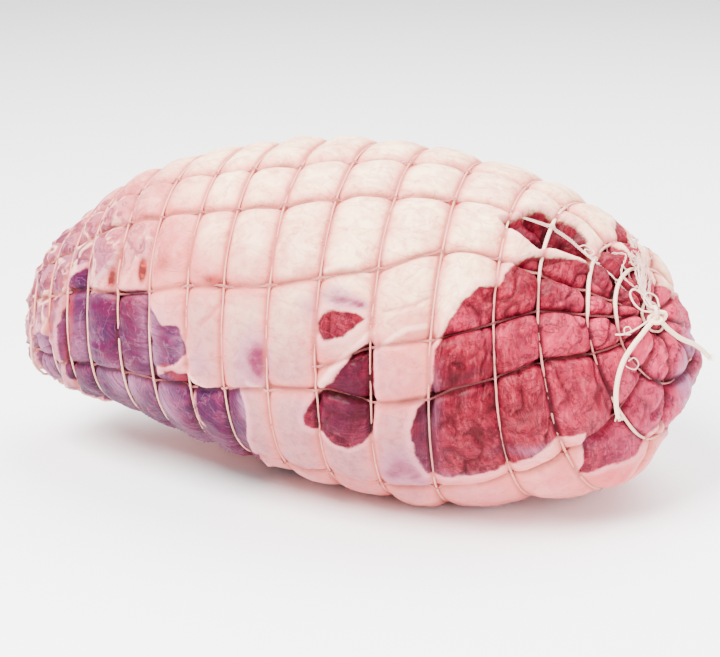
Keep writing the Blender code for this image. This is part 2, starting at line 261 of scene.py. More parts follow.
def value_noise(p, seed):
    """Smooth lattice noise, from -1 to 1."""
    i = np.floor(p).astype(np.int64)
    f = p - i
    f = f * f * (3.0 - 2.0 * f)
    total = 0.0
    for dx in (0, 1):
        for dy in (0, 1):
            for dz in (0, 1):
                h = (i[..., 0] + dx) * 73856093 ^ (i[..., 1] + dy) * 19349663 ^ (i[..., 2] + dz) * 83492791
                h = (h + seed * 2654435761) & 0xFFFFFFFF
                h = ((h ^ (h >> 15)) * 2246822519) & 0xFFFFFFFF
                h = ((h ^ (h >> 13)) * 3266489917) & 0xFFFFFFFF
                value = ((h ^ (h >> 16)) & 0xFFFF) / 32767.5 - 1.0
                wx = f[..., 0] if dx else 1.0 - f[..., 0]
                wy = f[..., 1] if dy else 1.0 - f[..., 1]
                wz = f[..., 2] if dz else 1.0 - f[..., 2]
                total = total + value * wx * wy * wz
    return total


def fbm(p, size, octaves, seed):
    """Layered noise with features of the given size (mm)."""
    total = 0.0
    gain = 1.0
    weight = 0.0
    for k in range(octaves):
        total = total + gain * value_noise(p / size * 2.0 ** k + 17.3 * k, seed + k)
        weight += gain
        gain *= 0.5
    return total / weight


# Outlines of regions of the skin: station along the skin (mm) and angle above the front (degrees).

LEAN_MAIN = (
    (206, 36), (200, 34), (195, 28), (192, 22), (190, 16), (188, 12), (188, 3), (187, -2),
    (183, -5), (181, -12), (182, -21), (185, -31), (191, -31), (199, -30), (207, -28), (213, -25),
    (219, -22), (226, -15), (233, -13), (237, -12), (236, -26), (234, -37), (243, -31),
    (254, -32), (262, -27), (272, -36), (300, -40), (300, 100), (268, 95), (262, 84), (257, 72),
    (250, 77), (243, 80), (238, 82), (236, 64), (231, 56), (223, 53), (215, 50), (210, 45), (207, 40),
)
LEAN_LEFT = (
    (48, 20), (52, 25), (57, 28), (58.5, 20), (60, 15.5), (72, 15), (86, 15.5), (88, 6), (89, -9), (90, -22),
    (89, -26), (88, -34), (90, -50), (86, -64), (80, -75), (60, -78), (54, -52),
    (48, -44), (45, -32), (44, -18), (44, -5), (46, 9),
)
LEAN_GREY = ((88, 10), (92, 7), (94, 4), (99, 4), (101, 0), (102, -4), (97, -9), (89, -11), (88, -2))
LEAN_STREAK = ((90, -15), (96, -11), (102, -11), (104, -16), (103, -23), (95, -26), (90, -28), (88, -21))
LEAN_BULGE = ((86, -25), (96, -19), (103, -19), (104, -32), (109, -52), (103, -66), (92, -68), (86, -48))
LEAN_BULGE_2 = (
    (104, -14), (117, -14), (121, -12), (124, -17), (124, -26), (122, -36),
    (121, -48), (112, -52), (106, -36), (104, -21),
)
LEAN_LOW = (
    (58, -46), (68, -36), (76, -42), (86, -36), (90, -31), (98, -30), (104, -34), (120, -44),
    (123, -56), (120, -78), (58, -80), (54, -60),
)
LEAN_PATCH = (
    (149.5, 14), (151, 17), (154.5, 18.5), (158.5, 18.8), (162.5, 19), (166, 17.5), (163, 14),
    (159, 10.5), (153, 8.5), (150, 10.5),
)
LEAN_TRIANGLE = (
    (168, 11.5), (165, 9), (162, 6), (159, 2), (155, -2), (152, -5), (149, -8), (146, -12),
    (144.5, -15), (145.5, -18.5), (148, -20), (151, -20), (155, -23), (160, -23), (165, -20),
    (168, -16), (169, -8), (169, 0), (168.5, 6),
)
LEAN_SLIVER = ((235, 108), (240, 106), (246, 94), (249, 84), (246, 81), (242, 86), (238, 92))
LEAN_TIP_LOW = ((24, -10), (33, -2), (41, -10), (42, -40), (36, -60), (26, -50))
LEAN_BACK = (
    (118, 214), (124, 202), (136, 199), (148, 190), (163, 187), (176, 193), (192, 191), (207, 201),
    (216, 214), (214, 232), (200, 246), (176, 252), (150, 248), (130, 240),
)
LEAN_BACK_LEFT = (
    (46, 226), (52, 212), (62, 204), (70, 205), (80, 198), (92, 206), (98, 222), (92, 240), (76, 252),
    (58, 254),
)
LEAN_UNDER = ((110, 262), (140, 256), (168, 262), (176, 276), (150, 284), (118, 282))
POCKET_MOUTH = (
    (203, 60), (208, 66), (211, 70), (216, 72), (221, 73), (227, 74), (231, 70), (235.5, 63),
    (233, 58), (228, 57), (223, 56), (219, 56), (216, 53), (211, 54), (209, 56), (207, 58),
)
POCKET_GAP = (
    (209, 58), (213, 59.5), (218, 60.5), (222, 60.5), (228, 60.5), (234, 62),
    (232, 57.5), (225, 56.5), (219, 56.5), (215, 53), (211, 54.5),
)
FAT_TIP = ((233, -39), (236, -36), (243, -30), (254, -32), (262, -29), (262, -42), (254, -50), (241, -44))
LEAN_REGIONS = (
    LEAN_MAIN, LEAN_LEFT, LEAN_GREY, LEAN_STREAK, LEAN_BULGE, LEAN_BULGE_2, LEAN_LOW, LEAN_PATCH,
    LEAN_TRIANGLE, LEAN_SLIVER, LEAN_TIP_LOW, LEAN_BACK, LEAN_BACK_LEFT, LEAN_UNDER, POCKET_MOUTH,
)

# Soft tints: station, angle, reach along (mm), reach across (mm), strength.
VIOLET = (
    (62, -12, 30, 34, 1.0), (95, 0, 12, 12, 0.8), (98, -42, 14, 24, 0.9), (112, -28, 14, 22, 0.9),
    (121, -26, 7, 20, 0.9), (90, -65, 40, 24, 0.8), (40, 10, 18, 40, 0.7), (158, -14, 14, 10, 0.35),
    (266, -22, 18, 22, 0.35), (250, -32, 14, 12, 0.3), (70, 225, 40, 30, 0.6), (185, -24, 6, 16, 0.3),
)
SILVER = (
    (92, -29, 5, 8, 0.55), (75, -22, 12, 4, 0.25), (73, -29, 7, 7, 0.65), (281, -10, 5, 34, 0.9),
    (176, -28, 9, 12, 0.5), (101, -60, 12, 10, 0.4), (284, 60, 6, 16, 0.5), (30, -35, 12, 24, 0.6),
    (66, -60, 18, 10, 0.25), (88, 2, 4, 14, 0.5), (72, 14, 16, 1.6, 0.45), (123, -17, 2, 7, 0.8),
    (187, -4, 2.5, 9, 0.7), (204, -31, 14, 2, 0.6), (225, -19, 12, 2, 0.5), (103, -2, 5, 5, 0.5),
    (57, -10, 5, 8, 0.35),
)
CREAM = (
    (150, 74, 74, 50, 1.0), (150, 96, 60, 30, 0.6), (205, 90, 50, 46, 1.0), (120, 100, 40, 30, 0.7),
    (248, 78, 20, 16, 0.9), (150, 20, 30, 16, 0.35), (190, 26, 16, 16, 0.5), (180, 150, 60, 40, 0.5),
    (126, -4, 16, 22, 0.35), (168, 40, 16, 14, 0.5), (212, 62, 10, 10, 0.5),
)
BLUSH = (
    (92, 30, 16, 12, 1.0), (112, 24, 10, 6, 0.8), (128, 19, 10, 6, 0.8), (150, 14, 8, 10, 0.4),
    (62, 45, 28, 22, 0.8), (160, 26, 12, 8, 0.3), (180, 10, 13, 20, 0.95), (203, 40, 12, 6, 0.6),
    (222, -34, 30, 12, 0.55), (247, -42, 13, 10, 0.9), (80, 60, 24, 18, 0.65), (34, 40, 22, 32, 0.6),
    (170, 30, 10, 8, 0.25), (224, 76, 12, 6, 0.5), (238, 68, 10, 6, 0.6), (120, 150, 40, 18, 0.4),
    (205, 51, 14, 4, 0.5), (180, 56, 8, 3, 0.5), (118, 70, 3, 30, 0.3), (78, 120, 40, 60, 0.4),
)
GREY = (
    (135, -10, 30, 34, 0.95), (172, -14, 14, 20, 0.8), (166, -30, 20, 14, 0.9), (105, 2, 12, 16, 0.5),
    (178, -30, 10, 10, 0.9), (150, -44, 60, 12, 0.6), (20, -30, 18, 24, 0.7), (176, -33, 6, 6, 0.8),
    (88, -52, 36, 22, 1.0), (44, -36, 12, 26, 0.8), (98, -22, 12, 8, 0.5), (160, 215, 50, 30, 0.4),
    (100, 190, 40, 20, 0.3),
)
MOTTLED = (
    (52, 34, 22, 18, 0.95), (30, 20, 20, 40, 1.0), (82, 34, 10, 8, 0.5), (60, 60, 20, 14, 0.4),
    (12, 0, 20, 200, 1.0), (58, 250, 30, 40, 0.5), (42, -12, 9, 26, 0.9), (50, 50, 16, 14, 0.5),
)
CLEAN = (
    (218, 63, 7, 18, 1.0), (235, 51, 6, 14, 1.0), (245, 50, 7, 26, 0.95), (255, -12, 6, 16, 0.6),
    (255, 60, 10, 16, 0.6),
)
BLOODY = (
    (71, 18.5, 1.7, 6, 1.0), (84, 24, 1.5, 5, 1.0), (50, 6, 3, 10, 0.9), (39, 10, 2, 10, 0.7),
    (74, 30, 1.5, 6, 0.6), (60, 30, 2, 7, 0.6), (47, -18, 2.5, 8, 0.7), (112, 22, 6, 3, 0.6),
    (93, 27, 5, 4, 0.5), (99, -14, 4, 3, 0.9), (94, -11.5, 4, 2.5, 0.7), (163, 30, 5, 2.5, 0.35),
)
BRUISE = (
    (129.8, -1.5, 3.6, 5.4, 1.0), (127, 1.5, 6, 9, 0.4), (176, -27, 5, 8, 0.7), (172, -35, 5, 6, 0.6),
    (182, -32, 4, 10, 0.7), (146, -14, 4, 6, 0.4), (92, 2, 6, 10, 0.5), (122, -20, 5, 14, 0.5),
    (147, 18, 5, 5, 0.4), (156, 24, 6, 3, 0.5), (66, 28, 6, 6, 0.6), (56, 40, 7, 8, 0.6),
    (44, 30, 5, 10, 0.7), (34, 10, 6, 14, 0.5), (36, 55, 8, 10, 0.5), (24, -20, 10, 14, 0.6),
    (170, 8, 3, 6, 0.35), (108, -6, 4, 6, 0.4), (158, 21, 5, 1.7, 1.0), (163, 21.8, 3.5, 1.5, 0.9),
    (42.5, -7, 4, 15, 0.95),
)
# Painted shade: darker tint over recessed places of the lean; the strands also sink deeper there.
SHADED_RECESS = (
    (161, -5, 12, 18, 0.9), (152, -16, 6, 6, 0.3), (186, -8, 6, 16, 0.55), (200, 4, 6, 5, 0.3),
    (207, -20, 10, 10, 0.25), (66, -54, 24, 12, 0.4), (108, -60, 18, 12, 0.4), (222, 60, 14, 5, 0.5),
)
PALE = (
    (266, 0, 20, 50, 0.95), (222, 18, 10, 10, 0.35), (235, 36, 8, 10, 0.6), (205, 20, 5, 5, 0.3),
    (230, -4, 6, 6, 0.25), (196, 22, 5, 4, 0.35),
)
# The tints that the material of the meat reads, by name. CLEAN is for the net alone.
TINTS = {
    "violet": VIOLET, "silver": SILVER, "cream": CREAM, "blush": BLUSH, "grey": GREY,
    "mottled": MOTTLED, "bloody": BLOODY, "bruise": BRUISE, "shaded_recess": SHADED_RECESS, "pale": PALE,
}
# Folds and small ridges: height and width (mm), then points as station and angle.
FOLDS = (
    (-0.9, 1.0, (108, 6), (112, 10), (115, 15)),
    (0.9, 1.2, (102, -10), (107, -13), (113, -15), (118, -16)),
    (0.8, 1.4, (151, -4), (156, 1), (160, 5), (164, 9), (168, 14)),
    (0.7, 1.2, (171, 10), (175, 14), (179, 17), (185, 19)),
    (-0.8, 0.9, (171, 21), (176, 22.5), (181, 25), (185, 28)),
    (-0.7, 0.8, (187, 14), (189, 18), (188, 23)),
    (-1.0, 1.0, (43, 40), (48, 46), (59, 46), (70, 49)),
    (0.9, 1.2, (61, 12), (64, 18), (70, 27), (74, 35)),
    (0.9, 1.4, (36, -2), (45, 14), (53, 26)),
    (-0.8, 0.9, (28, 20), (38, 30), (50, 33), (58, 42)),
    (0.7, 0.9, (62, -8), (68, -10), (73, -4), (75, 1)),
    (-0.7, 0.8, (80, 4), (85, 0), (88, -3)),
    (0.6, 0.8, (95, -2), (99, 1), (103, -1)),
    (0.7, 1.3, (126, -8), (133, -10), (138, -16)),
    (-0.6, 1.0, (172, -17), (174, -28), (175, -38)),
    (0.6, 1.1, (144, -10), (147, -16), (152, -22)),
    (-1.2, 1.0, (256, -2), (263, 6), (270, 19)),
    (-1.1, 1.0, (262, -16), (270, -10), (279, 4)),
    (-1.0, 1.0, (196, 8), (203, 14), (211, 10)),
    (-1.1, 1.1, (224, 34), (229, 40), (233, 32)),
    (-1.0, 1.1, (214, 22), (219, 30), (221, 40)),
    (0.7, 1.2, (150, 30), (158, 33), (165, 31)),
    (0.8, 1.2, (205, 56), (210, 54), (215, 54.5)),
)


def to_segment(t, y, t0, y0, dt, dy):
    """Distance to the straight piece that starts at (t0, y0) and runs by (dt, dy)."""
    w = np.clip(((t - t0) * dt + (y - y0) * dy) / np.maximum(dt * dt + dy * dy, 1e-9), 0, 1)
    return np.hypot(t - t0 - w * dt, y - y0 - w * dy)


def fold_relief(t, angle):
    """Height in mm of the folds and ridges."""
    scale = radius_at(t) * DEG
    y = angle * scale
    height = np.zeros(t.shape)
    for size, width, *points in FOLDS:
        best = np.full(t.shape, 1e9)
        for (t0, a0), (t1, a1) in zip(points, points[1:]):
            y0 = a0 * scale
            best = np.minimum(best, to_segment(t, y, t0, y0, t1 - t0, a1 * scale - y0))
        height += size * np.exp(-(best / width) ** 2)
    return height


def inside_distance(t, angle, outline):
    """Signed distance in mm to an outline on the skin, positive inside."""
    scale = radius_at(t) * DEG
    y = angle * scale
    best = np.full(t.shape, 1e9)
    inside = np.zeros(t.shape, bool)
    for (t0, a0), (t1, a1) in zip(outline, outline[1:] + outline[:1]):
        y0 = a0 * scale
        best = np.minimum(best, to_segment(t, y, t0, y0, t1 - t0, a1 * scale - y0))
        if a0 != a1:
            crosses = (angle >= min(a0, a1)) & (angle < max(a0, a1))
            inside ^= crosses & (t < t0 + (angle - a0) * (t1 - t0) / (a1 - a0))
    return np.where(inside, best, -best)


def region(t, angle, outlines):
    """Largest signed distance to any of the outlines; angles may be given past 180."""
    value = np.full(t.shape, -30.0)
    for outline in outlines:
        low = min(a for _, a in outline)
        turned = np.where(angle < low - 60.0, angle + 360.0, angle)
        turned = np.where(turned > low + 300.0, turned - 360.0, turned)
        value = np.maximum(value, inside_distance(t, turned, outline))
    return value


def tint(t, angle, blobs):
    """Sum of soft round tints, at most 1."""
    value = np.zeros(t.shape)
    for t0, a0, along, across, strength in blobs:
        away = (angle - a0 + 180.0) % 360.0 - 180.0
        d = ((t - t0) / along) ** 2 + (away * DEG * radius_at(t) / across) ** 2
        value += strength * np.exp(-d)
    return np.clip(value, 0.0, 1.0)


def ramp(value, low, high):
    """Smooth step from 0 at low to 1 at high."""
    w = np.clip((value - low) / (high - low), 0.0, 1.0)
    return w * w * (3.0 - 2.0 * w)


# Meat.

FAT_DIP = 2.7
LEAN_DIP = 3.9
STRAND_DIP = 2.0
MEAT_ROWS = 310
MEAT_COLUMNS = 319


def cord_lines(s, angle):
    """Distance in mm to the nearest hoop and to the nearest strand, and the place between hoops."""
    edges = np.concatenate(([0.0], CORD_ROWS, [SKIN_END]))
    gap = np.clip(np.searchsorted(edges, s, side="right") - 1, 0, len(edges) - 2)
    place = (s - edges[gap]) / (edges[gap + 1] - edges[gap])
    to_hoop = np.min(np.abs(s[..., None] - CORD_ROWS), -1)
    lines = strand_angles(s)
    keep = np.ones(len(lines), bool)
    keep[1] = False
    reach = np.where(s > CAP_START, SKIN_END - s, radius_at(s))
    to_any = np.min(np.abs(lines - angle), 0)
    to_kept = np.min(np.abs(lines[keep] - angle), 0)
    to_strand = np.where(s < HOOPS[SPLIT_HOOP], to_kept, to_any) * reach
    return gap, place, to_hoop, to_strand


def warped(plain, t, phi):
    """Stretchable coordinates on the skin (mm): along and round the joint, gently wavy."""
    along = t + 7.0 * fbm(plain, 26.0, 2, 61)
    across = phi * DEG * radius_at(t) + 7.0 * fbm(plain, 26.0, 2, 67)
    return np.stack((along, across, np.zeros_like(t)), -1)


def body_place(s, angle):
    """Station and angle (degrees) on the body under a point of the net."""
    t, phi = under_net(s, angle)
    return t, phi / DEG


def meat_surface(s, column):
    """Points of the finished meat in mm, with what its material needs to know."""
    angle = angle_at(s, column)
    t, phi = body_place(s, angle)
    facts = {name: tint(t, phi, blobs) for name, blobs in TINTS.items()}
    plain = skin(s, angle)
    normal = skin_normal(s, angle)
    gap, place, to_hoop, to_strand = cord_lines(s, angle)
    flow = warped(plain, t, phi)

    wander = (1.0 + 0.9 * ramp(t, 135.0, 110.0)) * fbm(plain, 8.0, 3, 11)
    lean = region(t, phi, LEAN_REGIONS)
    lean = np.maximum(lean, np.minimum(t - 268.0, 20.0)) + wander
    lean = np.minimum(lean, -region(t, phi, (FAT_TIP,)) + 0.5 * wander)
    is_lean = ramp(lean, -0.8, 0.8)
    violet = facts["violet"]
    raw = is_lean * (1.0 - 0.75 * violet)
    round_fibres = ramp(t, 172.0, 186.0)
    mouth = region(t, phi, (POCKET_MOUTH,)) + 0.4 * wander
    slit = region(t, phi, (POCKET_GAP,)) + 0.3 * wander

    dome = (1.0 - np.abs(2.0 * place - 1.0) ** 2.4) ** 0.6
    tight = ramp(np.minimum(s, SKIN_END - s), 4.0, 40.0)
    dip = FAT_DIP + (LEAN_DIP - FAT_DIP) * raw
    height = 0.4 + 0.5 * raw - dip * (1.0 - dome)
    soft = STRAND_DIP * (0.8 + 0.9 * raw) * (0.35 + 0.65 * tight)
    height -= soft * (np.exp(-(to_strand / 1.1) ** 2) + 0.5 * np.exp(-(to_strand / 4.5) ** 2))
    cell = np.stack((gap * 7.31, np.floor(column) * 3.77, gap * 0.0), -1)
    height += 0.5 * value_noise(cell, 3) * dome * tight
    height += 0.9 * fbm(plain, 24.0, 2, 5) * dome
    height += 0.45 * fbm(plain, 7.0, 2, 6) * dome
    lengthwise = fbm(flow * (0.12, 0.55, 1.0), 1.0, 3, 21)
    round_it = fbm(flow * (0.5, 0.16, 1.0), 1.0, 3, 22)
    grain = lengthwise + (round_it - lengthwise) * round_fibres
    crumb = fbm(plain, 3.4, 2, 8)
    height += raw * (0.55 * grain + 0.5 * crumb)
    height += 0.22 * lengthwise * is_lean * violet
    fat_lumps = 0.18 * crumb + 0.42 * fbm(plain * (1.0, 0.8, 0.8), 5.5, 3, 9)
    wrinkles = 0.5 - 2.0 * np.abs(fbm(flow * (0.24, 0.13, 1.0), 1.0, 3, 81))
    mottled = facts["mottled"]
    height += (fat_lumps + 0.9 * mottled * wrinkles) * (1.0 - is_lean)
    film = np.abs(fbm(flow * (0.07, 0.12, 1.0), 1.0, 2, 71))
    height += 0.5 * np.exp(-(film / 0.06) ** 2) * np.maximum(facts["grey"], mottled)
    folds = fold_relief(t, phi)
    height += folds
    height -= 0.5 * is_lean
    height += 0.55 * np.exp(-((lean + 1.2) / 1.1) ** 2)
    # Creases in the lean: cut into the relief, and darkened by the material as painted shade.
    crease = np.abs(fbm(flow * (0.085, 0.06, 1.0), 1.0, 3, 31))
    crease = np.exp(-(crease / 0.045) ** 2) * raw
    height -= 1.0 * crease
    height -= 3.6 * ramp(mouth, -0.6, 2.6) + 9.0 * ramp(slit, -0.6, 3.0)
    height += 1.1 * np.exp(-((mouth + 1.8) / 1.6) ** 2)

    p = plain + normal * height[..., None]
    p[..., 2] = np.maximum(p[..., 2], 0.35 * np.exp(-(to_hoop / 1.2) ** 2))
    # Patchy painted shade in the creases along the strands, left off next to the hoops.
    along_seam = value_noise(np.stack((s / 6.0, np.round(column) * 7.7, s * 0), -1), 93)
    seam = np.exp(-(to_strand / 0.9) ** 2) * ramp(along_seam, -0.6, 0.3) * ramp(to_hoop, 0.6, 2.5)
    # Where the hoops and strands press in; the material paints shade there.
    groove = np.maximum(np.exp(-(to_hoop / 1.5) ** 2), 0.85 * np.exp(-(to_strand / 1.3) ** 2))
    facts.update(
        lean=lean,
        wrinkles=wrinkles,
        folds=folds,
        groove=groove,
        seam=seam,
        tile=0.5 + 0.5 * value_noise(cell, 13),
        crease=crease,
        round_fibres=round_fibres,
        cavity=np.clip(0.2 * ramp(mouth, -0.5, 2.0) + 0.9 * ramp(slit, 0.0, 2.2), 0, 1),
        shade=np.clip(1.0 - dome + 0.5 * np.exp(-(to_strand / 3.0) ** 2), 0.0, 1.0),
    )
    return p, flow, facts


def net_wear(s, angle):
    """How far a cord is soaked red (0 to 1) and how far it is sunk into the meat (mm)."""
    t, phi = body_place(s, angle)
    lean = ramp(np.maximum(region(t, phi, LEAN_REGIONS), np.minimum(t - 268.0, 5.0)), -2.0, 2.0)
    raw = lean * (1.0 - 0.75 * tint(t, phi, VIOLET))
    pocket = ramp(region(t, phi, (POCKET_MOUTH,)), -3.0, 0.0)
    clean = np.maximum(tint(t, phi, CLEAN), pocket)
    soaked = 0.75 * (1.0 - lean) + 0.42 * lean + 0.41 * raw
    return soaked * (1.0 - clean), 1.25 * raw * (1.0 - clean)


def with_ends(values):
    """Values on a grid as one list, then the mean of the first row and of the last."""
    flat = values.reshape((-1,) + values.shape[2:])
    return np.concatenate((flat, values[:1].mean(1), values[-1:].mean(1)))


def capped_faces(rows, columns):
    """Faces over a grid of points joined round, closed by one point more at each end."""
    index = np.arange(rows * columns).reshape(rows, columns)
    right = np.roll(index, -1, 1)
    quads = np.stack((index[:-1], right[:-1], right[1:], index[1:]), -1).reshape(-1, 4)
    low = rows * columns
    first = np.stack((np.full(columns, low), right[0], index[0]), -1)
    last = np.stack((np.full(columns, low + 1), index[-1], right[-1]), -1)
    return [quads, first, last]


def grid_mesh(name, points):
    """Quads over a rows by columns grid of points (mm), joined round and closed at both ends."""
    return build_mesh(name, with_ends((points - FRAME_SHIFT) * MM), capped_faces(*points.shape[:2]))


def build_mesh(name, points, faces):
    """Mesh object from an array of points in metres and arrays of faces."""
    mesh = bpy.data.meshes.new(name)
    mesh.vertices.add(len(points))
    mesh.vertices.foreach_set("co", np.asarray(points, np.float32).ravel())
    loops = np.concatenate([f.ravel() for f in faces])
    counts = np.concatenate([np.full(len(f), f.shape[1]) for f in faces])
    starts = np.concatenate(([0], np.cumsum(counts)[:-1]))
    mesh.loops.add(len(loops))
    mesh.loops.foreach_set("vertex_index", loops.astype(np.int32))
    mesh.polygons.add(len(counts))
    mesh.polygons.foreach_set("loop_start", starts.astype(np.int32))
    mesh.polygons.foreach_set("use_smooth", np.ones(len(counts), bool))
    mesh.update(calc_edges=True)
    mesh.validate()
    obj = bpy.data.objects.new(name, mesh)
    bpy.context.scene.collection.objects.link(obj)
    return obj


def store(obj, name, values):
    """Keep a value or vector at every vertex for the material."""
    values = np.asarray(values, np.float32)
    kind = "FLOAT_VECTOR" if values.ndim == 2 else "FLOAT"
    attribute = obj.data.attributes.new(name, kind, "POINT")
    attribute.data.foreach_set("vector" if values.ndim == 2 else "value", values.ravel())


def make_meat():
    """The meat itself."""
    s = np.linspace(1.2, SKIN_END - 1.2, MEAT_ROWS)
    column = np.arange(MEAT_COLUMNS) * STRANDS / MEAT_COLUMNS
    s, column = np.meshgrid(s, column, indexing="ij")
    points, flow, facts = meat_surface(s, column)
    obj = grid_mesh("lamb", points)
    for name, values in facts.items():
        store(obj, name, with_ends(values))
    store(obj, "flow", with_ends(flow) * MM)
    return obj


# Cords.


def tube(points, across, up, radius, sides, closed, plies=0, pitch=1.0):
    """Vertices (mm) and faces of a cord; plies give it the ridges of a twisted cord."""
    n = len(points)
    step = np.linalg.norm(np.diff(points, axis=0), axis=1)
    length = np.concatenate(([0.0], np.cumsum(step)))
    turn = np.arange(sides) * 2.0 * math.pi / sides
    radius = np.broadcast_to(radius, n)
    ridge = np.ones((n, sides))
    if plies:
        phase = plies * (turn[None] - 2.0 * math.pi * length[:, None] / pitch) / 2.0
        ridge = 0.82 + 0.2 * np.abs(np.cos(phase))
    r = radius[:, None] * ridge
    x = np.cos(turn)[None] * r
    y = np.sin(turn)[None] * r
    verts = points[:, None] + across[:, None] * x[..., None] + up[:, None] * y[..., None]
    if closed:
        index = np.arange(n * sides).reshape(n, sides)
        right = np.roll(index, -1, 1)
        quads = np.stack((index, right, np.roll(right, -1, 0), np.roll(index, -1, 0)), -1)
        return verts.reshape(-1, 3), [quads.reshape(-1, 4)]
    verts = np.concatenate((verts.reshape(-1, 3), points[:1], points[-1:]))
    return verts, capped_faces(n, sides)


def joined(name, parts):
    """One object from several tubes, each with how far it is soaked."""
    verts = []
    quads = []
    tris = []
    soaked = []
    base = 0
    for points, faces, wear in parts:
        verts.append(points)
        for f in faces:
            (quads if f.shape[1] == 4 else tris).append(f + base)
        base += len(points)
        wear = np.atleast_1d(wear)
        if len(wear) > 1:
            wear = np.repeat(wear, len(points) // len(wear))
            wear = np.concatenate((wear, wear[-1:].repeat(len(points) - len(wear))))
        soaked.append(np.broadcast_to(wear, len(points)))
    faces = [np.concatenate(quads)]
    if tris:
        faces.append(np.concatenate(tris))
    obj = build_mesh(name, (np.concatenate(verts) - FRAME_SHIFT) * MM, faces)
    store(obj, "soaked", np.concatenate(soaked))
    return obj


def directions(points, normal, closed):
    """Sideways and outward directions of a cord lying on a surface."""
    if closed:
        along = np.roll(points, -1, 0) - np.roll(points, 1, 0)
    else:
        along = np.gradient(points, axis=0)
    along /= np.maximum(np.linalg.norm(along, axis=1, keepdims=True), 1e-9)
    across = np.cross(normal, along)
    across /= np.maximum(np.linalg.norm(across, axis=1, keepdims=True), 1e-9)
    up = np.cross(along, across)
    return across, up


def on_skin(s, column, depth):
    """Points and outward directions at a depth under the plain skin."""
    angle = angle_at(s, column)
    normal = skin_normal(s, angle)
    p = skin(s, angle) - normal * np.asarray(depth)[..., None]
    p[..., 2] = np.maximum(p[..., 2], 0.85)
    return p, normal


HOOP_RADIUS = np.array((
    0.55, 0.48, 0.42, 0.42, 0.42, 0.42, 0.4, 0.37, 0.36, 0.35, 0.35, 0.35, 0.37, 0.4, 0.45, 0.45, 0.45, 0.4,
))


def end_share(s):
    """1 at either end of the joint, falling to 0 along it."""
    return np.exp(-(np.minimum(s, 1.4 * (SKIN_END - s)) / END_REACH) ** 2)


def make_hoops():
    """Elastic hoops that run round the joint, one at each groove."""
    parts = []
    for k, row in enumerate(CORD_ROWS):
        count = 480 if 1 < k < 15 else 300
        if k in (0, len(CORD_ROWS) - 1):
            count = 90
        column = np.arange(count) * STRANDS / count
        wave = 0.35 * value_noise(np.stack((column * 1.7, column * 0 + k * 5.1, column * 0), -1), 41)
        wave = wave * np.minimum(1.0, np.minimum(column, STRANDS - column))
        s = np.full(count, row) + wave
        angle = angle_at(s, column)
        soaked, sunk = net_wear(s, angle)
        near_end = end_share(row)
        clean = tint(*body_place(s, angle), CLEAN)
        depth = HOOP_SINK + sunk - 1.1 * near_end * (clean if row > CAP_START else 1.0)
        radius = HOOP_RADIUS[k] * (1.0 + 0.55 * clean if k > 12 else 1.0)
        if k >= BURIED_HOOP:
            t, phi = body_place(s, angle)
            if k == BURIED_HOOP:
                hidden = ramp(phi, 40.0, 31.0) * ramp(phi, -7.0, 3.0)
            else:
                hidden = ramp(t, 236.0, 246.0) * ramp(phi, 46.0, 30.0) * ramp(phi, -90.0, -60.0)
            depth = depth + 0.7 * hidden
            soaked = np.maximum(soaked, 0.95 * hidden)
            radius = radius * (1.0 - 0.3 * hidden)
        if k == 1:
            loose = np.exp(-(((angle / DEG % 360.0) - 328.0) / 34.0) ** 2)
            depth = depth - 3.6 * loose
        points, normal = on_skin(s, column, depth)
        across, up = directions(points, normal, True)
        tube_points, faces = tube(points, across, up, radius, 8, True, 2, 1.9)
        parts.append((tube_points, faces, soaked))
    return joined("net_hoops", parts)


